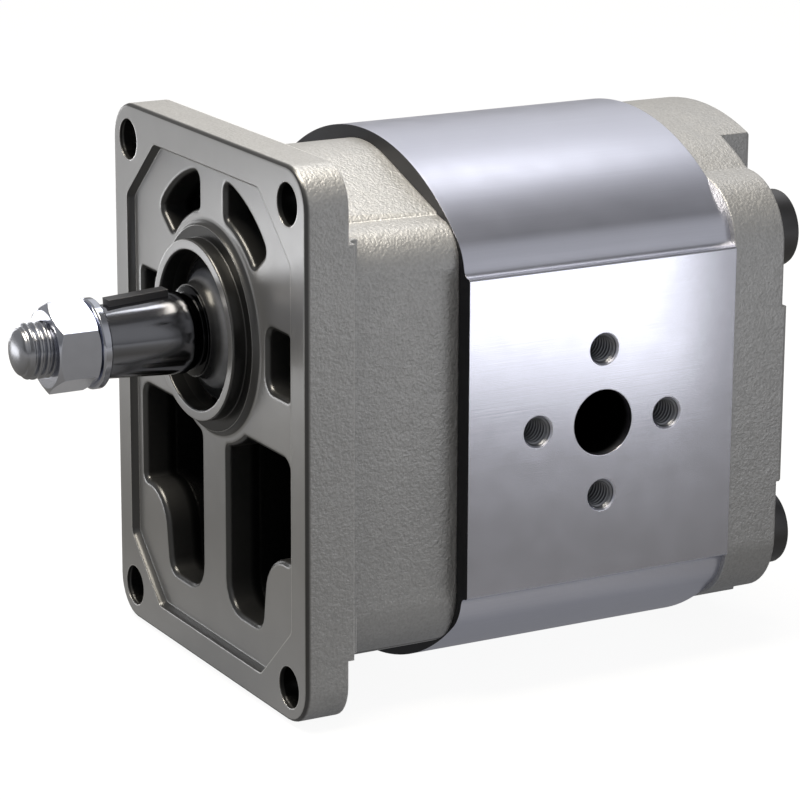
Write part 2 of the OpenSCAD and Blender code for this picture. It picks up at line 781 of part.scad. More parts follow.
module shaft_washer() color("lightgray") {
    r = washer_d / 2;
    bore = thread_d / 2 + washer_gap;
    y = -taper_end - washer_t;
    turned([
        [bore, y], [r - washer_edge, y], [r, y + washer_edge], [r, -taper_end - washer_edge],
        [r - washer_edge, -taper_end], [bore, -taper_end]
    ]);
}

// Hexagon nut with both faces chamfered from its flats to its corners
module shaft_nut() color("lightgray") {
    back = -taper_end - washer_t;
    front = back - nut_t;
    face_r = nut_flats / 2 * 0.96;
    corner_r = nut_flats / 2 / cos(30) + cut;
    slope = (corner_r - face_r) * tan(nut_chamfer_angle);
    difference() {
        intersection() {
            along_y(front, nut_t) rotate(90) circle(nut_flats / 2 / cos(30), $fn = 6);
            turned([
                [0, front], [face_r, front], [corner_r, front + slope],
                [corner_r, back - slope], [face_r, back], [0, back]
            ]);
        }
        rod(thread_d / 2, front - cut, nut_t + 2 * cut);
    }
}

module shaft_dust_ring() color("#1a1a1a") {
    r = journal_d / 2;
    span = dust_ring_end - dust_ring_y;
    flare = [for (i = [0:8])
        [r + dust_ring_edge + (dust_ring_lip_r - r - dust_ring_edge) * pow(i / 8, 2.2), dust_ring_y + span * i / 8]];
    turned(concat([[r, dust_ring_y]], flare, [[dust_ring_lip_r - 0.9, dust_ring_end], [r, dust_ring_end - 1.2]]));
}

// Bearing block in its place in front of the gears, with its seal groove towards -Y
module bearing_block() {
    difference() {
        along_y(block_end, bearing_len) figure_eight(block_r);
        at_both_gears() rod(bush_r, block_end - cut, bearing_len + 2 * cut);
        along_y(block_end - cut, pressure_groove_depth + cut) three_band(pressure_r, pressure_groove_w);
        for (side = [0, 1]) mirror([side, 0, 0])
            translate([relief_x, block_end + bearing_len - relief[1], mid_z - relief[2] / 2])
                cube([relief[0], relief[1] + cut, relief[2]]);
    }
}

// Moves a piece of the front half to its place in the rear half
module rear_half() {
    translate([0, 2 * port_y, 0]) mirror([0, 1, 0]) children();
}

module front_bearing_block() color("darkkhaki") {
    bearing_block();
}

module rear_bearing_block() color("darkkhaki") {
    rear_half() bearing_block();
}

module bush(z) {
    translate([0, 0, z]) difference() {
        rod(bush_r, block_end + bush_recess, bearing_len - 2 * bush_recess);
        rod(bush_bore_r, block_end, bearing_len);
    }
}

module front_drive_bush() color("darkgoldenrod") {
    bush(0);
}

module front_driven_bush() color("darkgoldenrod") {
    bush(-gear_centres);
}

module rear_drive_bush() color("darkgoldenrod") {
    rear_half() bush(0);
}

module rear_driven_bush() color("darkgoldenrod") {
    rear_half() bush(-gear_centres);
}

module pressure_seal() {
    w = pressure_groove_w - backup_w;
    along_y(block_end, pressure_groove_depth) three_band(pressure_r + backup_w / 2, w);
}

module backup_ring() {
    w = pressure_groove_w - backup_w;
    along_y(block_end, pressure_groove_depth) three_band(pressure_r - w / 2, backup_w);
}

module front_pressure_seal() color("#202020") {
    pressure_seal();
}

module rear_pressure_seal() color("#202020") {
    rear_half() pressure_seal();
}

module front_backup_ring() color("ivory") {
    backup_ring();
}

module rear_backup_ring() color("ivory") {
    rear_half() backup_ring();
}

module body_seal() {
    along_y(block_end, seal_groove_depth) racetrack(seal_groove_r, seal_groove_w);
}

module front_body_seal() color("#202020") {
    body_seal();
}

module rear_body_seal() color("#202020") {
    rear_half() body_seal();
}

// Lip seal: outer case, web, and a lip pressed on the shaft by the spring
module shaft_seal() color("#241f1c") {
    r = seal_d / 2;
    back = seal_y + seal_w;
    turned([
        [spring_r - 0.3, seal_y], [r, seal_y], [r, back], [r - 1.5, back], [r - 1.5, seal_y + 1.4],
        [spring_r + 1, seal_y + 1.4], [spring_r + 0.5, lip_y - 1.1], [spring_r - spring_wire_r, lip_y - 0.5],
        [spring_r - spring_wire_r, lip_y + 0.5], [spring_r + 0.3, lip_y + 1.1], [spring_r + 0.3, lip_y + 2],
        [bush_bore_r + 1.1, lip_y + 2], [bush_bore_r, lip_y]
    ]);
}

module seal_spring() color("silver") {
    rotate([-90, 0, 0]) rotate_extrude() translate([spring_r, lip_y]) circle(spring_wire_r, $fn = 24);
}

// Internal circlip with two pierced lugs beside its gap
module seal_retaining_ring() color("#33312f") {
    r = seal_d / 2 + circlip_groove - circlip_play;
    lug_r = r - circlip_w - circlip_lug_r / 2;
    lugs = [for (side = [-1, 1]) polar(lug_r, side * (circlip_gap_angle / 2 + 8) - 90)];
    along_y(circlip_y, circlip_t) difference() {
        union() {
            difference() {
                circle(r);
                circle(r - circlip_w);
                polygon([[0, 0], polar(2 * r, -90 - circlip_gap_angle / 2), polar(2 * r, circlip_gap_angle / 2 - 90)]);
            }
            for (p = lugs) translate(p) circle(circlip_lug_r);
        }
        for (p = lugs) translate(p) circle(circlip_hole_r);
    }
}

module front_dowel_pins() color("silver") {
    dowel_holes(block_end);
}

module rear_dowel_pins() color("silver") {
    dowel_holes(body_end);
}

mounting_flange();
gear_housing();
rear_cover();
body_bolts();
drive_gear_shaft();
driven_gear_shaft();
shaft_key();
shaft_washer();
shaft_nut();
shaft_dust_ring();
front_bearing_block();
rear_bearing_block();
front_drive_bush();
front_driven_bush();
rear_drive_bush();
rear_driven_bush();
front_pressure_seal();
rear_pressure_seal();
front_backup_ring();
rear_backup_ring();
front_body_seal();
rear_body_seal();
shaft_seal();
seal_spring();
seal_retaining_ring();
front_dowel_pins();
rear_dowel_pins();
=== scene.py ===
"""Dresses the external gear pump: metal finishes, threads, screws, studio and camera.

Sizes are written in millimetres and become metres when a mesh, lamp or camera is made. X runs across the
pump towards the outlet, Y from the mounting face back to the rear cover, and Z up. The drive shaft lies on
the Y axis.
"""

import json
import logging
from collections.abc import Iterable
from dataclasses import dataclass
from enum import Enum
from functools import partial, reduce
from itertools import product
from math import cos, pi, radians, sin

import bmesh
import bpy
import numpy as np
from mathutils import Matrix, Vector


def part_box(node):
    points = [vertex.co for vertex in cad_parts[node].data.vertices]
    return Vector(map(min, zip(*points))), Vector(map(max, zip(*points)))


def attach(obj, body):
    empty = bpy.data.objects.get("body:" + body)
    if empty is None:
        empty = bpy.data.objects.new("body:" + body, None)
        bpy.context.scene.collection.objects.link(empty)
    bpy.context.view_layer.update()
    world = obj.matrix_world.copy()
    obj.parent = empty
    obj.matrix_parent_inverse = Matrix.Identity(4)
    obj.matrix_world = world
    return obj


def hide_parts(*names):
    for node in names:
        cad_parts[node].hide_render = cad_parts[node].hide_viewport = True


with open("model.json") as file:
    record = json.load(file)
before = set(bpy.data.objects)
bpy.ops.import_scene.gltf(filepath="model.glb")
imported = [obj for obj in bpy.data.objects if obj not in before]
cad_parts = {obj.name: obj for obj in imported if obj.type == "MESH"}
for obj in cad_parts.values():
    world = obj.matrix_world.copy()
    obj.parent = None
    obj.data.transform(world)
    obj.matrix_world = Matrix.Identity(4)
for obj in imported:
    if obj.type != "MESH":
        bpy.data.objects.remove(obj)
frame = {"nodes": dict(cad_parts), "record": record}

MM = 0.001
LOG = logging.getLogger("gear_pump")

Pair = tuple[float, float]
Point = tuple[float, float, float]
Colour = tuple[float, float, float, float]
Socket = bpy.types.NodeSocket
Value = float | tuple[float, ...] | Socket


def millimetres(metres: Iterable[float]) -> tuple[float, ...]:
    """Lengths in millimetres, rounded to shed the noise of single precision."""
    return tuple(round(length / MM, 4) for length in metres)


def node_box(node: str) -> tuple[Point, Point]:
    """Lowest and highest corner of a CAD node at rest, in millimetres."""
    low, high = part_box(node)
    return millimetres(low), millimetres(high)


def mount(name: str) -> dict:
    """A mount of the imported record."""
    return next(entry for entry in frame["record"]["mounts"] if entry["name"] == name)


@dataclass(frozen=True)
class Port:
    """A side port and its ring of screw holes."""

    face_x: float
    y: float
    z: float
    screw_d: float
    screw_pcd: float

    @classmethod
    def of(cls, side: str) -> "Port":
        """The outlet or inlet, as the record's mounts give it."""
        screws = mount(f"{side}_bolts")
        return cls(*millimetres(screws["pos_m"]), 2 * screws["dims"]["hole_r_mm"], screws["dims"]["pcd_mm"])


OUTLET = Port.of("outlet")
INLET = Port.of("inlet")
FLANGE_HOLES = mount("flange_bolts")


class Body(Enum):
    """Moving groups of the pump."""

    HOUSING = "housing"
    DRIVE = "drive_shaft"


class Lines(Enum):
    """Ways in which tool marks run over a metal surface."""

    NONE = "none"
    ALONG = "along the shaft axis"
    ROUND = "round the shaft axis"


class Tree:
    """Node tree of a material or of the surroundings."""

    def __init__(self, tree: bpy.types.NodeTree) -> None:
        """Takes the tree."""
        self.tree = tree

    def node(self, kind: str, inputs: dict[int | str, Value] | None = None,
             **settings: object) -> bpy.types.Node:
        """Adds a node.

        Args:
            kind: Type name of the node.
            inputs: Values or sockets for its inputs, by name or place.
            settings: Properties of the node, set before its inputs.

        Returns:
            The new node.
        """
        node = self.tree.nodes.new(kind)
        for key, value in settings.items():
            setattr(node, key, value)
        for key, value in (inputs or {}).items():
            self.feed(node.inputs[key], value)
        return node

    def feed(self, socket: Socket, value: Value) -> None:
        """Links a socket, or sets its value.

        Args:
            socket: The input to feed.
            value: Another node's output, or a number, vector or colour.
        """
        if isinstance(value, bpy.types.NodeSocket):
            self.tree.links.new(value, socket)
        else:
            socket.default_value = value

    def math(self, operation: str, *values: Value) -> Socket:
        """Result of a Math node on one to three values."""
        return self.node("ShaderNodeMath", dict(enumerate(values)), operation=operation).outputs[0]

    def largest(self, *values: Value) -> Value:
        """The largest of the values."""
        return reduce(partial(self.math, "MAXIMUM"), values)

    def product(self, *values: Value) -> Value:
        """All values multiplied."""
        return reduce(partial(self.math, "MULTIPLY"), values)

    def dot(self, a: Value, b: Value) -> Socket:
        """Dot product of two vectors."""
        return self.node("ShaderNodeVectorMath", {0: a, 1: b}, operation="DOT_PRODUCT").outputs["Value"]

    def ramp(self, value: Socket, span: Pair, ends: Pair, shape: str = "LINEAR") -> Socket:
        """Runs from one end to the other as a value crosses a span, and stays level outside it.

        Args:
            value: The value.
            span: Lower and upper limit of the span.
            ends: The results at the two limits.
            shape: LINEAR, or SMOOTHSTEP for a soft start and end.

        Returns:
            The result.
        """
        inputs = {0: value, 1: span[0], 2: span[1], 3: ends[0], 4: ends[1]}
        return self.node("ShaderNodeMapRange", inputs, interpolation_type=shape).outputs[0]

    def step(self, value: Socket, off: float, on: float) -> Socket:
        """Soft step from 0 to 1.

        Args:
            value: The value.
            off: Where the step is 0, and beyond which it stays 0.
            on: Where it is 1. It may lie below off.

        Returns:
            The step.
        """
        if off < on:
            return self.ramp(value, (off, on), (0.0, 1.0), "SMOOTHSTEP")
        return self.ramp(value, (on, off), (1.0, 0.0), "SMOOTHSTEP")


class Graph(Tree):
    """Node tree of one material, with its pattern space in millimetres."""

    def __init__(self, name: str) -> None:
        """Starts the tree.

        Args:
            name: Name of the new material.
        """
        self.material = bpy.data.materials.new(name)
        self.material.use_nodes = True
        super().__init__(self.material.node_tree)
        self.shader = self.tree.nodes["Principled BSDF"]
        coords = self.node("ShaderNodeTexCoord").outputs["Object"]
        self.place = self.node("ShaderNodeVectorMath", {0: coords, 3: 1 / MM}, operation="SCALE").outputs[0]
        self.x, self.y, self.z = self.node("ShaderNodeSeparateXYZ", {0: self.place}).outputs

    def normal(self) -> Socket:
        """The surface's own normal, before bumps and softened edges."""
        return self.node("ShaderNodeNewGeometry").outputs["Normal"]

    def noise(self, size: float, detail: float = 2.0, stretch: Point = (1.0, 1.0, 1.0),
              place: Socket | None = None) -> Socket:
        """Noise from 0 to 1.

        Args:
            size: Width of its spots in millimetres.
            detail: Octaves.
            stretch: How many times longer the spots are along X, Y and Z.
            place: Where the noise is read, which is the point's own place if it isn't given.

        Returns:
            The noise's value.
        """
        scale = tuple(1 / (size * s) for s in stretch)
        source = self.place if place is None else place
        vector = self.node("ShaderNodeMapping", {0: source, 3: scale}).outputs[0]
        return self.node("ShaderNodeTexNoise", {"Vector": vector, "Scale": 1.0, "Detail": detail}).outputs[0]

    def varied(self, value: Value, noise: Socket, share: float) -> Socket:
        """A number that noise raises and lowers by up to a share of itself."""
        return self.math("MULTIPLY", self.math("MULTIPLY_ADD", noise, 2 * share, 1 - share), value)

    def tinted(self, colour: Colour, amount: Socket) -> Socket:
        """A colour multiplied by a number."""
        grey = self.node("ShaderNodeCombineColor", {0: amount, 1: amount, 2: amount}).outputs[0]
        mixed = {0: 1.0, 6: colour, 7: grey}
        return self.node("ShaderNodeMix", mixed, data_type="RGBA", blend_type="MULTIPLY").outputs[2]

    def bump(self, height: Socket, depth: float, normal: Socket) -> Socket:
        """Normal of a surface raised by height times depth in millimetres."""
        inputs = {"Height": height, "Distance": depth * MM, "Strength": 1.0, "Normal": normal}
        return self.node("ShaderNodeBump", inputs).outputs[0]

    def distance(self, across: Socket, up: Socket, centre: Pair = (0.0, 0.0)) -> Socket:
        """Distance from a centre in the plane of two coordinates: the root of the sum of their squares.

        Args:
            across: First coordinate.
            up: Second coordinate.
            centre: The centre's own two coordinates.

        Returns:
            The distance in millimetres.
        """
        squares = [self.math("POWER", self.math("SUBTRACT", value, middle), 2.0)
                   for value, middle in zip((across, up), centre)]
        return self.math("SQRT", self.math("ADD", *squares))

    def aside(self) -> Socket:
        """Distance from the pump's middle plane."""
        return self.math("ABSOLUTE", self.x)

    def within(self, across: Socket, up: Socket, radii: Pair, centre: Pair = (0.0, 0.0)) -> Socket:
        """Mask of a round column: 0 past the first radius from its centre, and 1 within the second."""
        return self.step(self.distance(across, up, centre), *radii)

    def connect(self, **values: Value) -> None:
        """Feeds inputs of the shader, whose names are written with underscores for spaces."""
        for key, value in values.items():
            self.feed(self.shader.inputs[key.replace("_", " ")], value)


def rgb(r: float, g: float, b: float) -> Colour:
    """Opaque colour in linear light."""
    return r, g, b, 1.0


@dataclass(frozen=True)
class Finish:
    """A metal, rubber or plastic surface with tool marks, grain, mottling, softened edges and a painted
    highlight along them.

    Sizes are widths of spots in millimetres. A pair says where a soft step is 0 and where it is 1.
    """

    name: str
    colour: Colour
    roughness: float
    metallic: float = 1.0
    anisotropy: float = 0.0
    anisotropy_turn: float = 0.25
    lines: Lines = Lines.NONE
    line_size: float = 0.12
    line_depth: float = 0.004
    line_stretch: float = 260.0
    line_tone: float = 0.05
    mottle_size: float = 9.0
    mottle: float = 0.06
    mottle_roughness: float = 0.12
    grain_size: float = 0.6
    grain_depth: float = 0.0
    grain_roughness: float = 0.0
    grain_tone: float = 0.04
    coarse_size: float = 3.1
    coarse_height: float = 0.6
    edge_radius: float = 0.2
    edge_highlight_gain: float = 0.25
    edge_cosine: Pair = (0.985, 0.86)

    def marks(self, graph: Graph) -> Socket | None:
        """Height of the tool marks: noise drawn out along the lines, or read by radius and depth.

        Args:
            graph: The material's tree.

        Returns:
            The height from 0 to 1, or None where the finish has no marks.
        """
        if self.lines is Lines.ALONG:
            return graph.noise(self.line_size, 3.0, (1.0, self.line_stretch, 1.0))
        if self.lines is Lines.ROUND:
            radius = graph.distance(graph.x, graph.z)
            pair = graph.node("ShaderNodeCombineXYZ", {0: radius, 1: graph.y}).outputs[0]
            return graph.noise(self.line_size, 3.0, place=pair)
        return None

    def grain_share(self, graph: Graph) -> Value:
        """Where the grain shows, from 0 to 1."""
        return 1.0

    def light_share(self, graph: Graph) -> Value:
        """How much light reaches the surface, from 0 in a deep hole to 1 in the open."""
        return 1.0

    def smoothness(self, graph: Graph, roughness: Socket) -> Socket:
        """Roughness after any milled or polished places are made smoother."""
        return roughness

    def material(self) -> bpy.types.Material:
        """Builds the material.

        Returns:
            The material, with its colour, roughness and bump from noise on object coordinates.
        """
        graph = Graph(self.name)
        normal = graph.node("ShaderNodeBevel", {"Radius": self.edge_radius * MM}, samples=6).outputs[0]
        # Painted highlight: the colour is lightened along edges, where the softened normal turns away from
        # the surface's own normal.
        edge_highlight = graph.step(graph.dot(normal, graph.normal()), *self.edge_cosine)
        edges = graph.math("MULTIPLY_ADD", edge_highlight, self.edge_highlight_gain, 1.0)
        tone = graph.varied(edges, graph.noise(self.mottle_size, 3.0), self.mottle)
        roughness = graph.varied(self.roughness, graph.noise(self.mottle_size / 3), self.mottle_roughness)
        marks = self.marks(graph)
        if marks is not None:
            normal = graph.bump(marks, self.line_depth, normal)
            tone = graph.varied(tone, marks, self.line_tone)
        if self.grain_depth:
            share = self.grain_share(graph)
            if self.grain_roughness:
                rougher = self.grain_roughness - self.roughness
                roughness = graph.math("MULTIPLY_ADD", share, rougher, roughness)
            grain = graph.noise(self.grain_size)
            coarse = graph.noise(self.grain_size * self.coarse_size, 1.0)
            height = graph.product(graph.math("MULTIPLY_ADD", coarse, self.coarse_height, grain), share)
            normal = graph.bump(height, self.grain_depth, normal)
            spots = graph.math("MULTIPLY_ADD", graph.math("SUBTRACT", grain, 0.5), share, 0.5)
            tone = graph.varied(tone, spots, self.grain_tone)
        tone = graph.product(tone, self.light_share(graph))
        graph.connect(Base_Color=graph.tinted(self.colour, tone), Metallic=self.metallic, Normal=normal,
                      Roughness=self.smoothness(graph, roughness))
        if self.anisotropy:
            along = graph.node("ShaderNodeCombineXYZ", {0: 0.0, 1: 1.0, 2: 0.0}).outputs[0]
            graph.connect(Anisotropic=self.anisotropy, Anisotropic_Rotation=self.anisotropy_turn,
                          Tangent=along)
        return graph.material


@dataclass(frozen=True)
class FlangeFinish(Finish):
    """Die-cast aluminium: its front is smooth, its outside is sand-grained, and its pockets lie in the dark.

    Of the pairs, side_z is the lower and upper side, and hole_place is a hole's distance from the middle of
    all four. A shade is the share of light that is lost.
    """

    front_y: Pair = (0.5, 1.2)
    back_y: Pair = (8.6, 9.2)
    side_x: float = 38.6
    side_z: Pair = (-67.0, 35.2)
    side_edge: float = 0.3
    pocket_x: Pair = (35.0, 34.8)
    pocket_top_z: Pair = (-10.0, -12.0)
    pocket_foot_z: Pair = (-59.0, -58.6)
    pocket_r: Pair = (34.0, 33.8)
    pocket_y: Pair = (2.4, 8.0)
    slope_cosine: Pair = (0.985, 0.9)
    slope_y: Pair = (8.0, 7.0)
    slope_shade: float = 0.82
    pilot_r: Pair = (20.7, 20.6)
    pilot_foot_y: Pair = (0.2, 0.0)
    pilot_face_y: Pair = (-2.55, -2.45)
    pilot_shade: float = 0.93
    bore_r: Pair = (16.45, 16.15)
    bore_y: Pair = (-2.6, 0.5)
    bore_shade: float = 0.88
    hole_place: Pair = (FLANGE_HOLES["dims"]["spacing_x_mm"] / 2, FLANGE_HOLES["dims"]["spacing_y_mm"] / 2)
    hole_mid_z: float = millimetres(FLANGE_HOLES["pos_m"])[2]
    hole_r: Pair = (4.45, 4.3)
    hole_y: Pair = (0.1, 1.2)
    deepest: float = 0.97

    def grain_share(self, graph: Graph) -> Value:
        """Shows the grain on the plate's sides and behind it, and not on the front with its pockets.

        Args:
            graph: The material's tree.

        Returns:
            The grain's share.
        """
        low, high = self.side_z
        outside = graph.largest(
            graph.step(graph.aside(), self.side_x, self.side_x + self.side_edge),
            graph.step(graph.z, high, high + self.side_edge),
            graph.step(graph.z, low, low - self.side_edge),
            graph.step(graph.y, *self.back_y),
        )
        return graph.product(outside, graph.step(graph.y, *self.front_y))

    def pockets(self, graph: Graph) -> Value:
        """Darkness of the pockets, which deepens within a block below and a disc about the shaft.

        Args:
            graph: The material's tree.

        Returns:
            The darkness from 0 to 1.
        """
        block = graph.product(
            graph.step(graph.aside(), *self.pocket_x),
            graph.step(graph.z, *self.pocket_top_z),
            graph.step(graph.z, *self.pocket_foot_z),
        )
        disc = graph.within(graph.x, graph.z, self.pocket_r)
        return graph.product(graph.largest(block, disc), graph.step(graph.y, *self.pocket_y))

    def slopes(self, graph: Graph) -> Value:
        """Darkness of the front's slopes, where the normal turns away from the front.

        Args:
            graph: The material's tree.

        Returns:
            The darkness from 0 to 1.
        """
        ahead = graph.dot(graph.normal(), (0.0, -1.0, 0.0))
        smooth = graph.math("SUBTRACT", 1.0, self.grain_share(graph))
        aslant = graph.step(ahead, *self.slope_cosine)
        return graph.product(aslant, graph.step(graph.y, *self.slope_y), smooth)

    def pilot_side(self, graph: Graph) -> Value:
        """Darkness of the pilot's side and the land round its foot, from 0 to 1."""
        foot, face = graph.step(graph.y, *self.pilot_foot_y), graph.step(graph.y, *self.pilot_face_y)
        return graph.product(foot, face, graph.within(graph.x, graph.z, self.pilot_r))

    def light_share(self, graph: Graph) -> Value:
        """Falls with depth in the pockets, holes and bore, on the front's slopes and on the pilot's side.

        Args:
            graph: The material's tree.

        Returns:
            The light's share.
        """
        bore = graph.product(graph.within(graph.x, graph.z, self.bore_r),
                             graph.step(graph.y, *self.bore_y))
        upright = graph.math("ABSOLUTE", graph.math("SUBTRACT", graph.z, self.hole_mid_z))
        holes = graph.product(graph.within(graph.aside(), upright, self.hole_r, self.hole_place),
                              graph.step(graph.y, *self.hole_y))
        dark = graph.largest(
            self.pockets(graph),
            holes,
            graph.product(bore, self.bore_shade),
            graph.product(self.pilot_side(graph), self.pilot_shade),
            graph.product(self.slopes(graph), self.slope_shade),
        )
        return graph.math("SUBTRACT", 1.0, graph.product(dark, self.deepest))


@dataclass(frozen=True)
class BodyFinish(Finish):
    """Extruded aluminium with draw lines, milled port faces, and painted shade in its ports, screw holes and
    gear bores and over its front end.

    Depths are below a port face, and front_gap is behind the end face.
    """

    port: Port = OUTLET
    face_roughness: float = 0.2
    face_depth: Pair = (0.15, 0.05)
    hole_depth: Pair = (0.5, 3.0)
    hole_reach: Pair = (25.0, 24.5)
    core_x: Pair = (24.0, 23.0)
    core_r: Pair = (36.0, 34.0)
    front_gap: Pair = (0.12, 0.04)
    deepest: float = 0.96

    def light_share(self, graph: Graph) -> Value:
        """Falls inside the ports, screw holes and gear bores, and over the end face towards the flange.

        Args:
            graph: The material's tree.

        Returns:
            The light's share.
        """
        port, (shallow, deep) = self.port, self.hole_depth
        holes = graph.product(graph.step(graph.aside(), port.face_x - shallow, port.face_x - deep),
                              graph.within(graph.y, graph.z, self.hole_reach, (port.y, port.z)))
        core = graph.product(graph.step(graph.aside(), *self.core_x),
                             graph.within(graph.x, graph.z, self.core_r, (0.0, port.z)))
        front_y = node_box("gear_housing")[0][1]
        front = graph.step(graph.y, *(front_y + gap for gap in self.front_gap))
        dark = graph.largest(holes, core, front)
        return graph.math("SUBTRACT", 1.0, graph.product(dark, self.deepest))

    def smoothness(self, graph: Graph, roughness: Socket) -> Socket:
        """Roughness of the drawn skin, with the milled port faces made smoother."""
        face = graph.step(graph.aside(), *(self.port.face_x - depth for depth in self.face_depth))
        return graph.math("MULTIPLY_ADD", face, self.face_roughness - self.roughness, roughness)


@dataclass(frozen=True)
class ShaftFinish(Finish):
    """Ground steel that loses most of its light where the shaft enters the pilot."""

    dark_y: Pair = (-7.4, -5.8)
    dark_shade: float = 0.88

    def light_share(self, graph: Graph) -> Value:
        """Falls from the taper's big end into the pilot."""
        return graph.math("MULTIPLY_ADD", graph.step(graph.y, *self.dark_y), -self.dark_shade, 1.0)


@dataclass(frozen=True)
class DustRingFinish(Finish):
    """Black rubber with a painted highlight in a band round its flare, between two radii with soft edges."""

    highlight_start: Pair = (9.6, 10.4)
    highlight_end: Pair = (12.4, 11.2)
    outside_highlight: float = 0.1

    def light_share(self, graph: Graph) -> Value:
        """Is 1 in the band of painted highlight and little elsewhere.

        Args:
            graph: The material's tree.

        Returns:
            The light's share.
        """
        # Painted highlight: a paler band round the flare between two radii, while the rest of the ring is
        # kept dark.
        radius = graph.distance(graph.x, graph.z)
        highlight_band = graph.product(graph.step(radius, *self.highlight_start), graph.step(radius, *self.highlight_end))
        return graph.math("MULTIPLY_ADD", highlight_band, 1 - self.outside_highlight, self.outside_highlight)


class Finishes:
    """Every finish of the pump."""

    flange = FlangeFinish(
        "cast_flange", rgb(0.49, 0.495, 0.51), 0.3, metallic=0.8, grain_size=0.55, grain_depth=0.13,
        grain_roughness=0.48, grain_tone=0.24, edge_radius=0.45, edge_highlight_gain=1.3)
    cover = Finish(
        "cast_cover", rgb(0.46, 0.465, 0.48), 0.48, metallic=0.8, grain_size=0.55, grain_depth=0.13,
        grain_tone=0.24, edge_radius=0.6)
    body = BodyFinish(
        "extruded_body", rgb(0.74, 0.755, 0.87), 0.3, lines=Lines.ALONG, anisotropy=0.5, mottle=0.03,
        mottle_size=16.0)
    shaft = ShaftFinish(
        "ground_shaft_steel", rgb(0.26, 0.265, 0.29), 0.12, lines=Lines.ROUND, line_size=0.1,
        line_depth=0.0015, mottle=0.05, mottle_size=6.0)
    thread = Finish(
        "bright_thread_steel", rgb(0.45, 0.46, 0.50), 0.24, lines=Lines.ROUND, line_size=0.1, mottle=0.1,
        mottle_size=2.0, edge_radius=0.08)
    key = Finish("drawn_key_steel", rgb(0.13, 0.13, 0.14), 0.35, grain_depth=0.01, edge_highlight_gain=1.0)
    zinc = Finish(
        "zinc_plate", rgb(0.64, 0.66, 0.74), 0.14, mottle_size=2.5, grain_size=0.25, grain_depth=0.004,
        edge_radius=0.18)
    black_screw = Finish(
        "blackened_screw_steel", rgb(0.13, 0.13, 0.137), 0.38, grain_size=0.3, grain_depth=0.008,
        edge_highlight_gain=1.0)
    black_steel = Finish(
        "blackened_spring_steel", rgb(0.10, 0.095, 0.09), 0.4, edge_radius=0.1, edge_highlight_gain=0.8)
    tapped = Finish("tapped_aluminium", rgb(0.30, 0.31, 0.34), 0.3, mottle_size=1.5, edge_radius=0.05)
    rubber = Finish(
        "black_seal_rubber", rgb(0.018, 0.018, 0.02), 0.45, metallic=0.0, mottle=0.2, mottle_size=2.0,
        grain_size=0.2, grain_depth=0.006, edge_radius=0.15, edge_highlight_gain=0.2)
    dust_ring = DustRingFinish(
        "glossy_ring_rubber", rgb(0.24, 0.25, 0.28), 0.25, metallic=0.0, mottle=0.2, mottle_size=2.0,
        edge_radius=0.15, edge_highlight_gain=0.3)
    block = Finish("bearing_block_alloy", rgb(0.62, 0.60, 0.54), 0.35, lines=Lines.ALONG)
    bronze = Finish("bush_bronze", rgb(0.50, 0.33, 0.16), 0.35, lines=Lines.ROUND, edge_radius=0.1)
    gear_steel = Finish("ground_gear_steel", rgb(0.42, 0.42, 0.44), 0.28, lines=Lines.ALONG, edge_radius=0.15)
    plastic = Finish(
        "pale_ring_plastic", rgb(0.72, 0.68, 0.58), 0.45, metallic=0.0, grain_size=0.3, grain_depth=0.005,
        edge_radius=0.1, edge_highlight_gain=0.05)
    bright_wire = Finish("bright_spring_wire", rgb(0.6, 0.6, 0.62), 0.25, edge_radius=0.05)

    def __init__(self) -> None:
        """Starts with no material made."""
        self.made: dict[str, bpy.types.Material] = {}

    def material(self, finish: Finish) -> bpy.types.Material:
        """The finish's material, made on first use."""
        if finish.name not in self.made:
            self.made[finish.name] = finish.material()
        return self.made[finish.name]


def grid_faces(rows: int, columns: int, close_rows: bool) -> np.ndarray:
    """Quads between neighbouring points of a grid whose last column joins the first.

    Args:
        rows: Points along each column.
        columns: Points round each row.
        close_rows: Whether the last row joins the first too.

    Returns:
        Array of four point numbers per face.
    """
    i, j = np.meshgrid(np.arange(rows - (not close_rows)), np.arange(columns), indexing="ij")
    below, right = (i + 1) % rows, (j + 1) % columns
    quads = np.stack([i * columns + j, below * columns + j, below * columns + right, i * columns + right], -1)
    return quads.reshape(-1, 4)


def full_turn(columns: int) -> np.ndarray:
    """Angles of even steps round a full turn, in radians."""
    return np.linspace(0, 2 * np.pi, columns, endpoint=False)


def round_rows(profile: np.ndarray, columns: int) -> list[np.ndarray]:
    """The radius and the place along the axis of a profile's points, each repeated for every column."""
    return [np.repeat(profile[:, [part]], columns, 1) for part in (0, 1)]


def turned_points(radius: np.ndarray, along: np.ndarray, angles: np.ndarray) -> np.ndarray:
    """Points of a turned surface, three to a row: x = r cos a and z = r sin a about the Y axis, y = along."""
    return np.stack([radius * np.cos(angles), along, radius * np.sin(angles)], -1).reshape(-1, 3)


def resampled(profile: np.ndarray, spacing: float) -> np.ndarray:
    """A profile with points at even steps along each of its straight runs, which keeps its corners.

    Args:
        profile: Points of the profile.
        spacing: The longest step.

    Returns:
        Points of the finer profile.
    """
    runs = np.diff(profile, axis=0)
    steps = np.maximum(1, np.ceil(np.linalg.norm(runs, axis=1) / spacing).astype(int))
    parts = [start + np.linspace(0, 1, count, endpoint=False)[:, None] * run
             for start, count, run in zip(profile, steps, runs)]
    return np.vstack(parts + [profile[-1:]])


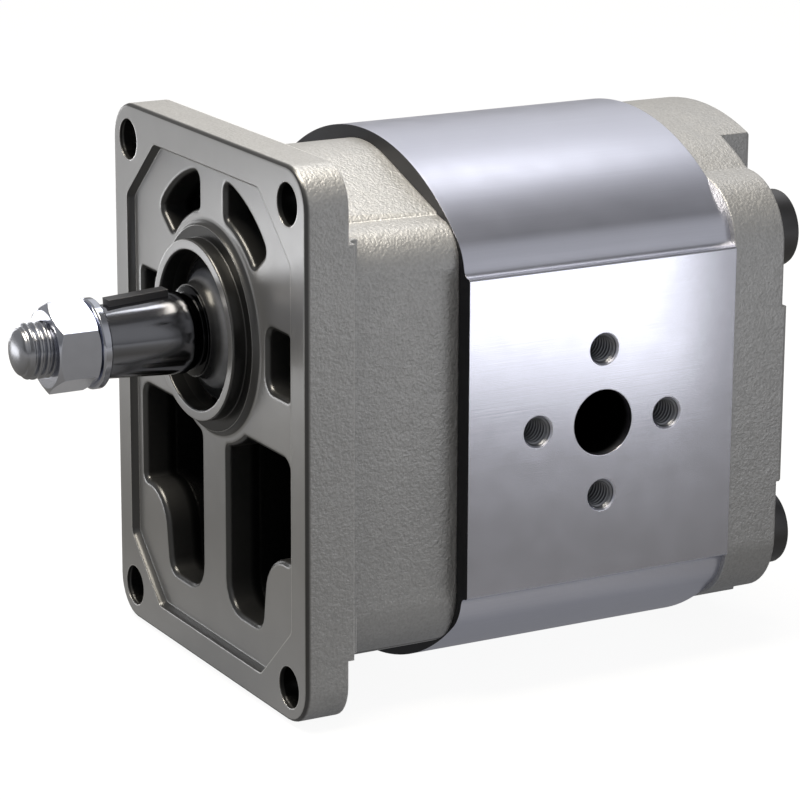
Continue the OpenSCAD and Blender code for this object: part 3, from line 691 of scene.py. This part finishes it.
def thread_form(along: np.ndarray, angles: np.ndarray, pitch: float) -> np.ndarray:
    """Height of a screw thread from 0 in its root to 1 on its crest.

    The phase is y / pitch less one turn of the angle. A triangle wave of the phase is stretched and clipped,
    which leaves a flat crest and root with straight flanks, and a smooth step rounds them.

    Args:
        along: Place on the thread's axis.
        angles: Angle round it in radians.
        pitch: Advance of the thread in a turn.

    Returns:
        The height at each place.
    """
    root_share, flank_share = 0.16, 0.66
    phase = along / pitch - angles / (2 * np.pi)
    wave = np.abs(2 * (phase - np.floor(phase)) - 1)
    flank = np.clip((wave - root_share) / flank_share, 0, 1)
    return flank * flank * (3 - 2 * flank)


def added(name: str, data: bpy.types.ID) -> bpy.types.Object:
    """Object of a mesh, lamp or camera, put in the scene."""
    obj = bpy.data.objects.new(name, data)
    bpy.context.scene.collection.objects.link(obj)
    return obj


def shaded(name: str, mesh: bpy.types.Mesh, smooth_angle: float) -> bpy.types.Object:
    """Object of a mesh that is shaded smooth.

    Args:
        name: Name of the object.
        mesh: Its mesh.
        smooth_angle: Angle in degrees past which an edge stays sharp.

    Returns:
        The object, in the scene.
    """
    mesh.polygons.foreach_set("use_smooth", np.ones(len(mesh.polygons), bool))
    mesh.set_sharp_from_angle(angle=radians(smooth_angle))
    return added(name, mesh)


def solid_of(name: str, points: np.ndarray, faces: np.ndarray, smooth_angle: float) -> bpy.types.Object:
    """Closed object from points and faces.

    Args:
        name: Name of the object.
        points: Points in millimetres, three to a row.
        faces: Point numbers of each face.
        smooth_angle: Angle in degrees past which an edge stays sharp.

    Returns:
        The object, with doubles merged, faces pointing outwards and smooth shading.
    """
    mesh = bpy.data.meshes.new(name)
    mesh.from_pydata(points * MM, [], faces)
    work = bmesh.new()
    work.from_mesh(mesh)
    bmesh.ops.remove_doubles(work, verts=work.verts, dist=2e-7)
    bmesh.ops.dissolve_degenerate(work, edges=work.edges, dist=1e-7)
    bmesh.ops.recalc_face_normals(work, faces=work.faces)
    work.to_mesh(mesh)
    work.free()
    return shaded(name, mesh, smooth_angle)


def refined_copy(node: str, name: str, smooth_angle: float) -> bpy.types.Object:
    """Smooth copy of a CAD node.

    Args:
        node: Name of the CAD node.
        name: Name of the copy.
        smooth_angle: Angle in degrees past which an edge stays sharp.

    Returns:
        The copy: loose corners are joined, flat regions merged, and faces weigh on normals by their area.
    """
    source = frame["nodes"][node].data
    points = np.zeros(len(source.vertices) * 3, np.float32)
    source.vertices.foreach_get("co", points)
    corners = np.zeros(len(source.loops), np.int32)
    source.loops.foreach_get("vertex_index", corners)
    mesh = bpy.data.meshes.new(name)
    mesh.from_pydata(points.reshape(-1, 3), [], corners.reshape(-1, 3))
    work = bmesh.new()
    work.from_mesh(mesh)
    bmesh.ops.remove_doubles(work, verts=work.verts, dist=1e-6)
    bmesh.ops.dissolve_limit(work, angle_limit=radians(0.3), verts=work.verts, edges=work.edges)
    work.to_mesh(mesh)
    work.free()
    copy = shaded(name, mesh, smooth_angle)
    weighted = copy.modifiers.new("weighted_normals", "WEIGHTED_NORMAL")
    weighted.keep_sharp = True
    return copy


class Workshop:
    """Gives finished pieces their body, material and place in the log."""

    def __init__(self) -> None:
        """Starts with no material made."""
        self.finishes = Finishes()

    def fit(self, piece: bpy.types.Object, finish: Finish, body: Body, slot: str, *replaced: str) -> None:
        """Dresses a new piece.

        Args:
            piece: The piece.
            finish: Its finish.
            body: The moving group that carries it.
            slot: Material slot of the record; not used.
            replaced: CAD nodes that it stands for.
        """
        self.paint(piece, finish)
        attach(piece, body.value)
        if replaced:
            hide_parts(*replaced)
        LOG.info("%s: %d faces, %s", piece.name, len(piece.data.polygons), finish.name)

    def dress(self, node: str, finish: Finish) -> None:
        """Puts a finish on a CAD node that stays as it is."""
        self.paint(frame["nodes"][node], finish)
        LOG.info("%s: CAD node, %s", node, finish.name)

    def paint(self, piece: bpy.types.Object, finish: Finish) -> None:
        """Makes a finish the piece's only material."""
        piece.data.materials.clear()
        piece.data.materials.append(self.finishes.material(finish))


@dataclass
class Castings:
    """Front flange and rear cover."""

    flange_smooth: float = 44.4
    cover_smooth: float = 30.0

    def build(self, shop: Workshop) -> None:
        """Makes both castings.

        Args:
            shop: Where they are dressed.
        """
        flange = refined_copy("mounting_flange", "flange_casting", self.flange_smooth)
        shop.fit(flange, Finishes.flange, Body.HOUSING, "cast_aluminium", "mounting_flange")
        cover = refined_copy("rear_cover", "cover_casting", self.cover_smooth)
        shop.fit(cover, Finishes.cover, Body.HOUSING, "cast_aluminium", "rear_cover")


@dataclass
class PortThreads:
    """Screw threads of one port's four holes, as thin sleeves inside the drilled holes."""

    name: str
    port: Port
    pitch: float
    depth: float
    wall: float = 0.02
    mouth: float = 0.45
    end_gap: float = 0.4
    fade: float = 0.8
    height_share: float = 0.54
    rows_per_turn: int = 14
    columns: int = 72
    smooth_angle: float = 50.0

    def build(self, shop: Workshop) -> None:
        """Makes the four sleeves as one piece: a threaded inner wall, joined at its ends to a plain wall.

        The thread rises to its full height over the fade behind the mouth.

        Args:
            shop: Where the piece is dressed.
        """
        outer = self.port.screw_d / 2 - self.wall
        inner_rows = int((self.depth - self.end_gap - self.fade) / self.pitch * self.rows_per_turn)
        inner = np.linspace(self.mouth, self.depth - self.end_gap, inner_rows)
        along = np.repeat(np.concatenate([inner, inner[[-1, 0]]])[:, None], self.columns, 1)
        angles = full_turn(self.columns)
        height = self.height_share * self.pitch * thread_form(along, angles[None, :], self.pitch)
        radius = outer - self.wall - height * np.clip((along - self.mouth) / self.fade, 0, 1)
        radius[inner_rows:] = outer
        x = self.port.face_x - np.sign(self.port.face_x) * along
        quads = grid_faces(len(along), self.columns, True)
        sleeves, faces = [], []
        for k, turn in enumerate(full_turn(4)):
            y = self.port.y + self.port.screw_pcd / 2 * cos(turn) + radius * np.cos(angles)
            z = self.port.z + self.port.screw_pcd / 2 * sin(turn) + radius * np.sin(angles)
            sleeves.append(np.stack([x, y, z], -1).reshape(-1, 3))
            faces.append(quads + k * along.size)
        piece = solid_of(self.name, np.vstack(sleeves), np.vstack(faces), self.smooth_angle)
        shop.fit(piece, Finishes.tapped, Body.HOUSING, "extruded_aluminium")


@dataclass
class GearBody:
    """Extruded body with its two threaded port faces."""

    smooth_angle: float = 28.0
    outlet_pitch: float = 1.0
    outlet_depth: float = 12.0
    inlet_pitch: float = 1.25
    inlet_depth: float = 15.0

    def build(self, shop: Workshop) -> None:
        """Makes the body and the threads in its port screw holes.

        Args:
            shop: Where they are dressed.
        """
        body = refined_copy("gear_housing", "extruded_housing", self.smooth_angle)
        shop.fit(body, Finishes.body, Body.HOUSING, "extruded_aluminium", "gear_housing")
        PortThreads("outlet_screw_threads", OUTLET, self.outlet_pitch, self.outlet_depth).build(shop)
        PortThreads("inlet_screw_threads", INLET, self.inlet_pitch, self.inlet_depth).build(shop)


@dataclass
class BodyBolts:
    """Four socket-head screws, which fill their CAD node's length."""

    place_x: Pair = (-26.5, 26.5)
    place_z: Pair = (13.6, -50.9)
    thread_r: float = 5.0
    thread_len: float = 26.0
    thread_depth: float = 0.9
    pitch: float = 1.5
    tip_chamfer: float = 1.0
    plain_end: float = 0.1
    core_r: float = 3.0
    head_r: float = 8.0
    head_h: float = 10.0
    head_edge: float = 0.6
    head_edge_bulge: float = 0.18
    socket_flats: float = 8.0
    socket_depth: float = 5.0
    socket_mouth: float = 0.35
    row_step: float = 0.15
    columns: int = 192
    smooth_angle: float = 40.0

    def build(self, shop: Workshop) -> None:
        """Makes the screws: shank, thread, head and six-sided socket are rows of one grid each.

        The socket's radius at an angle is half its flats over the cosine of the angle to the nearest flat's
        middle.

        Args:
            shop: Where the screws are dressed.
        """
        (_, tip, _), (_, top, _) = node_box("body_bolts")
        seat = top - self.head_h
        thread_end = tip + self.thread_len
        threaded_end = resampled(np.array([
            [0.0, tip], [self.thread_r - self.tip_chamfer, tip], [self.thread_r, tip + self.tip_chamfer],
            [self.thread_r, thread_end]
        ]), self.row_step)
        head = np.array([
            [self.thread_r, seat], [self.head_r, seat], [self.head_r, top - self.head_edge],
            [self.head_r - self.head_edge_bulge, top - self.head_edge_bulge],
            [self.head_r - self.head_edge, top]
        ])
        angles = full_turn(self.columns)
        radius, along = round_rows(np.vstack([threaded_end, head]), self.columns)
        root = self.thread_depth * (1 - thread_form(along, angles[None, :], self.pitch))
        threaded = (along > tip + self.plain_end) & (along < thread_end - self.plain_end)
        threaded &= radius > self.core_r
        radius = np.where(threaded, np.minimum(radius, self.thread_r - root), radius)
        sixth = np.pi / 3
        socket = self.socket_flats / 2 / np.cos((angles + sixth / 2) % sixth - sixth / 2)
        mouth = np.stack([socket + self.socket_mouth, socket, socket, np.zeros(self.columns)])
        floor = top - self.socket_depth
        levels = np.repeat(np.array([[top], [top - self.socket_mouth], [floor], [floor]]), self.columns, 1)
        radius, along = np.vstack([radius, mouth]), np.vstack([along, levels])
        one = turned_points(radius, along, angles)
        quads = grid_faces(len(radius), self.columns, False)
        places = list(product(self.place_x, self.place_z))
        points = np.vstack([one + np.array([x, 0.0, z]) for x, z in places])
        faces = np.vstack([quads + k * len(one) for k in range(len(places))])
        piece = solid_of("body_screws", points, faces, self.smooth_angle)
        shop.fit(piece, Finishes.black_screw, Body.HOUSING, "black_steel", "body_bolts")


@dataclass
class ShaftEnd:
    """Tapered shaft end with its thread, nut, washer, key and dust ring."""

    cut_y: float = -28.0
    thread_r: float = 5.6
    thread_depth: float = 0.85
    thread_fade: float = 0.9
    thread_back: float = 0.2
    thread_back_run: float = 0.6
    thread_back_taper: float = 1.0
    pitch: float = 1.5
    dome: float = 1.6
    dome_r: float = 4.7
    chamfer: float = 0.9
    row_step: float = 0.1
    columns: int = 144
    journal_r: float = 9.0
    ring_foot_r: float = 9.3
    flare_power: float = 2.2
    lip_r: float = 0.35
    lip_turn: Pair = (40.0, -80.0)
    foot_edge: float = 0.9
    foot_depth: float = 1.2
    shaft_smooth: float = 30.0
    thread_smooth: float = 60.0
    ring_smooth: float = 50.0
    nut_smooth: float = 28.0

    def shaft(self, shop: Workshop) -> None:
        """Copies the shaft and gear, and closes the copy inside the nut where its thread piece takes over.

        Args:
            shop: Where the shaft is dressed.
        """
        copy = refined_copy("drive_gear_shaft", "drive_shaft", self.shaft_smooth)
        work = bmesh.new()
        work.from_mesh(copy.data)
        whole = list(work.verts) + list(work.edges) + list(work.faces)
        cut = bmesh.ops.bisect_plane(work, geom=whole, plane_co=(0, self.cut_y * MM, 0), plane_no=(0, -1, 0),
                                     clear_outer=True)
        rim = [edge for edge in cut["geom_cut"] if isinstance(edge, bmesh.types.BMEdge)]
        bmesh.ops.edgeloop_fill(work, edges=rim)
        bmesh.ops.recalc_face_normals(work, faces=work.faces)
        work.to_mesh(copy.data)
        work.free()
        copy.data.set_sharp_from_angle(angle=radians(self.shaft_smooth))
        shop.fit(copy, Finishes.shaft, Body.DRIVE, "ground_steel", "drive_gear_shaft")

    def thread(self, shop: Workshop) -> None:
        """Makes the thread: the plain end's profile, lowered by the thread form and faded out over the dome.

        Args:
            shop: Where the thread is dressed.
        """
        tip_y = node_box("drive_gear_shaft")[0][1]
        dome_y, back_y = tip_y + self.dome, self.cut_y - self.thread_back
        bend = np.linspace(0, np.pi / 2, 14)
        dome = np.stack([self.dome_r * np.sin(bend), tip_y + self.dome * (1 - np.cos(bend))], -1)
        straight = np.array([[self.dome_r, dome_y], [self.thread_r, dome_y + self.chamfer],
                             [self.thread_r, self.cut_y - self.thread_back_run]])
        back = np.array([[self.thread_r - self.thread_back_taper, back_y], [0.0, back_y]])
        rows = np.vstack([dome[:-1], resampled(straight, self.row_step), back])
        angles = full_turn(self.columns)
        radius, along = round_rows(rows, self.columns)
        root = self.thread_r - self.thread_depth * (1 - thread_form(along, angles[None, :], self.pitch))
        fade = np.clip((along - dome_y) / self.thread_fade, 0, 1)
        radius = radius + (np.minimum(radius, root) - radius) * fade
        piece = solid_of("shaft_end_thread", turned_points(radius, along, angles),
                         grid_faces(len(rows), self.columns, False), self.thread_smooth)
        shop.fit(piece, Finishes.thread, Body.DRIVE, "ground_steel")

    def dust_ring(self, shop: Workshop) -> None:
        """Makes the rubber ring: a foot on the journal that flares to a lip by a power curve and rolls under.

        Args:
            shop: Where the ring is dressed.
        """
        (_, start, _), (lip_reach, end, _) = node_box("shaft_dust_ring")
        lip_y = end - self.lip_r
        t = np.linspace(0, 1, 28)
        flare = np.stack([self.ring_foot_r + (lip_reach - self.ring_foot_r) * t ** self.flare_power,
                          start + (lip_y - start) * t], -1)
        turn = np.radians(np.linspace(*self.lip_turn, 8))
        roll = np.stack([lip_reach - self.lip_r * (1 - np.cos(turn)), lip_y - self.lip_r * np.sin(turn)], -1)
        foot = np.array([[self.journal_r + self.foot_edge, end - self.foot_edge],
                         [self.journal_r, end - self.foot_depth], [self.journal_r, start]])
        profile = np.vstack([flare, roll, foot])
        radius, along = round_rows(profile, self.columns)
        piece = solid_of("dust_ring", turned_points(radius, along, full_turn(self.columns)),
                         grid_faces(len(profile), self.columns, True), self.ring_smooth)
        shop.fit(piece, Finishes.dust_ring, Body.DRIVE, "rubber", "shaft_dust_ring")

    def build(self, shop: Workshop) -> None:
        """Makes the shaft end.

        Args:
            shop: Where its pieces are dressed.
        """
        self.shaft(shop)
        self.thread(shop)
        self.dust_ring(shop)
        for node, name, finish, slot in (
            ("shaft_nut", "nut", Finishes.zinc, "zinc_steel"),
            ("shaft_washer", "washer", Finishes.zinc, "zinc_steel"),
            ("shaft_key", "taper_key", Finishes.key, "ground_steel"),
        ):
            shop.fit(refined_copy(node, name, self.nut_smooth), finish, Body.DRIVE, slot, node)


@dataclass
class InnerParts:
    """Gears, bearings and seals that the pump holds inside."""

    def build(self, shop: Workshop) -> None:
        """Puts each inner CAD node's finish on it.

        Args:
            shop: Where the nodes are dressed.
        """
        for finish, nodes in (
            (Finishes.gear_steel, ("driven_gear_shaft", "front_dowel_pins", "rear_dowel_pins")),
            (Finishes.block, ("front_bearing_block", "rear_bearing_block")),
            (Finishes.bronze, ("front_drive_bush", "front_driven_bush",
                               "rear_drive_bush", "rear_driven_bush")),
            (Finishes.rubber, ("front_pressure_seal", "rear_pressure_seal", "front_body_seal",
                               "rear_body_seal", "shaft_seal")),
            (Finishes.plastic, ("front_backup_ring", "rear_backup_ring")),
            (Finishes.bright_wire, ("seal_spring",)),
            (Finishes.black_steel, ("seal_retaining_ring",)),
        ):
            for node in nodes:
                shop.dress(node, finish)


@dataclass(frozen=True)
class Glow:
    """A soft patch of light in the surroundings: full within the inner angle, gone past the outer one."""

    towards: Point
    inner: float
    outer: float
    gain: float


@dataclass(frozen=True)
class Lamp:
    """A soft rectangular lamp: where it stands, the point that it faces, its width and height, and its light.

    The brightness says how bright its face looks, where 1 is white.
    """

    name: str
    place: Point
    aim: Point
    size: Pair
    brightness: float
    tint: Point = (1.0, 1.0, 1.0)

    def build(self) -> None:
        """Adds the lamp, whose power is its brightness times pi times its area."""
        data = bpy.data.lights.new(self.name, "AREA")
        data.shape = "RECTANGLE"
        data.size, data.size_y = (side * MM for side in self.size)
        data.energy = self.brightness * pi * data.size * data.size_y
        data.color = self.tint
        lamp = added(self.name, data)
        turn = (Vector(self.place) - Vector(self.aim)).normalized().to_track_quat("Z", "Y")
        lamp.matrix_world = Matrix.Translation(Vector(self.place) * MM) @ turn.to_matrix().to_4x4()
        lamp.visible_camera = False


@dataclass
class Studio:
    """Camera, lamps, surroundings and floor."""

    azimuth: float = 61.038
    elevation: float = 15.428
    roll: float = 0.2647
    distance: float = 718.52
    target: Point = (0.0, 50.0, -15.0)
    offset: Pair = (-5.0837, -5.9622)
    focal_px: float = 3477.45
    frame_px: float = 800.0
    sensor: float = 36.0
    clip: Pair = (10.0, 50000.0)
    fill: Pair = (0.05, 0.52)
    fill_from: float = -0.3
    sky: float = 0.12
    glows: tuple[Glow, ...] = (
        Glow((-0.60, 0.467, 0.65), 4.0, 40.0, 0.6),
        Glow((0.78, 0.467, 0.42), 12.0, 36.0, 0.28),
        Glow((0.60, -0.50, 0.60), 10.0, 45.0, 0.26),
        Glow((-0.70, -0.60, 0.25), 15.0, 50.0, 0.2),
    )
    floor_z: float = -72.0
    floor_r: float = 6000.0
    floor_sides: int = 96
    floor_tones: tuple[float, float, float] = (0.2, 0.03, 0.35)
    floor_reach: tuple[float, float, float] = (60.0, 120.0, 620.0)
    floor_grey: float = 0.1
    floor_bounce: float = 0.22
    floor_seen: float = 0.93
    lamps: tuple[Lamp, ...] = (
        Lamp("key_softbox", (-270.0, 470.0, 732.0), (0.0, 50.0, -15.0), (150.0, 150.0), 1.95),
        Lamp("side_strip", (205.5, 148.0, -28.0), (44.0, 66.0, -17.0), (79.0, 58.0), 1.5),
        Lamp("top_softbox", (0.0, -120.0, 800.0), (0.0, 40.0, 0.0), (500.0, 500.0), 13.2, (1.0, 0.92, 0.77)),
        Lamp("front_strip", (-183.0, -163.0, -43.0), (30.0, 0.0, 20.0), (125.0, 35.0), 2.0),
        Lamp("nut_card", (-28.0, 40.0, 137.0), (0.0, -33.0, 5.0), (30.0, 30.0), 3.6),
        Lamp("left_card", (-380.0, -30.0, 20.0), (0.0, -35.0, 0.0), (70.0, 180.0), 3.0),
    )

    def camera(self) -> None:
        """Places the camera at the photograph's angle: it looks along minus back, with a right and an up."""
        a, e, roll = (radians(v) for v in (self.azimuth, self.elevation, self.roll))
        back = Vector((sin(a) * cos(e), -cos(a) * cos(e), sin(e)))
        level = Vector((cos(a), sin(a), 0.0))
        upright = back.cross(level)
        right = cos(roll) * level + sin(roll) * upright
        up = cos(roll) * upright - sin(roll) * level
        place = Vector(self.target) + back * self.distance + right * self.offset[0] + up * self.offset[1]
        data = bpy.data.cameras.new("camera")
        data.sensor_width = self.sensor
        data.lens = self.focal_px / self.frame_px * self.sensor
        data.clip_start, data.clip_end = (reach * MM for reach in self.clip)
        camera = added("camera", data)
        turn = Matrix((right, up, back)).transposed().to_4x4()
        camera.matrix_world = Matrix.Translation(place * MM) @ turn
        bpy.context.scene.camera = camera

    def world(self) -> None:
        """Makes the surroundings: soft light, and a white backdrop that is dim and patchy in reflections."""
        world = bpy.data.worlds.new("studio")
        bpy.context.scene.world = world
        world.use_nodes = True
        tree = Tree(world.node_tree)
        tree.tree.nodes.clear()
        way = tree.node("ShaderNodeTexCoord").outputs["Generated"]
        mirrored: Value = self.sky
        for glow in self.glows:
            near = tree.dot(way, Vector(glow.towards).normalized())
            span = (cos(radians(glow.outer)), cos(radians(glow.inner)))
            mirrored = tree.math("ADD", tree.ramp(near, span, (0.0, glow.gain), "SMOOTHSTEP"), mirrored)
        rays = tree.node("ShaderNodeLightPath").outputs
        seen = tree.largest(rays["Is Glossy Ray"], rays["Is Transmission Ray"], rays["Is Camera Ray"])
        backdrop = tree.largest(mirrored, rays["Is Camera Ray"])
        height = tree.node("ShaderNodeSeparateXYZ", {0: way}).outputs[2]
        fill = tree.ramp(height, (self.fill_from, 1.0), self.fill)
        soft, white = (
            tree.node("ShaderNodeBackground", {"Color": rgb(1.0, 1.0, 1.0), "Strength": strength}).outputs[0]
            for strength in (fill, backdrop)
        )
        both = tree.node("ShaderNodeMixShader", {0: seen, 1: soft, 2: white}).outputs[0]
        tree.node("ShaderNodeOutputWorld", {"Surface": both})

    def floor(self) -> None:
        """Makes the pale floor: white to the camera with a faint shadow, and shaded where metal shows it."""
        ring = full_turn(self.floor_sides)
        points = np.stack([self.floor_r * np.cos(ring), self.floor_r * np.sin(ring),
                           np.full(self.floor_sides, self.floor_z)], -1)
        mesh = bpy.data.meshes.new("floor")
        mesh.from_pydata(points * MM, [], [list(range(self.floor_sides))])
        floor = added("floor", mesh)
        graph = Graph("pale_floor")
        away = graph.distance(graph.x, graph.y, self.target[:2])
        near, middle, far = self.floor_tones
        inner = graph.ramp(away, self.floor_reach[:2], (near, middle))
        outer = graph.ramp(away, self.floor_reach[1:], (0.0, far - middle))
        rays = graph.node("ShaderNodeLightPath").outputs
        seen = graph.largest(rays["Is Camera Ray"], rays["Is Glossy Ray"], rays["Is Transmission Ray"])
        level = graph.largest(graph.math("ADD", inner, outer),
                              graph.product(rays["Is Camera Ray"], self.floor_seen))
        glow = graph.node("ShaderNodeEmission", {"Color": rgb(1.0, 1.0, 1.0), "Strength": level}).outputs[0]
        matt, pale = (graph.node("ShaderNodeBsdfDiffuse", {"Color": rgb(tone, tone, tone)}).outputs[0]
                      for tone in (self.floor_grey, self.floor_bounce))
        lit = graph.node("ShaderNodeAddShader", {0: glow, 1: matt}).outputs[0]
        both = graph.node("ShaderNodeMixShader", {0: seen, 1: pale, 2: lit}).outputs[0]
        graph.feed(graph.tree.nodes["Material Output"].inputs["Surface"], both)
        floor.data.materials.append(graph.material)

    def build(self) -> None:
        """Sets up the studio."""
        self.camera()
        self.world()
        self.floor()
        for lamp in self.lamps:
            lamp.build()
        bpy.context.scene.view_settings.view_transform = "Standard"


def main() -> None:
    """Builds the studio and every sub-assembly."""
    logging.basicConfig(level=logging.INFO, format="%(name)s %(message)s")
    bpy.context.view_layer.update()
    Studio().build()
    shop = Workshop()
    for part in (Castings(), GearBody(), BodyBolts(), ShaftEnd(), InnerParts()):
        part.build(shop)


if __name__ == "__main__":
    main()
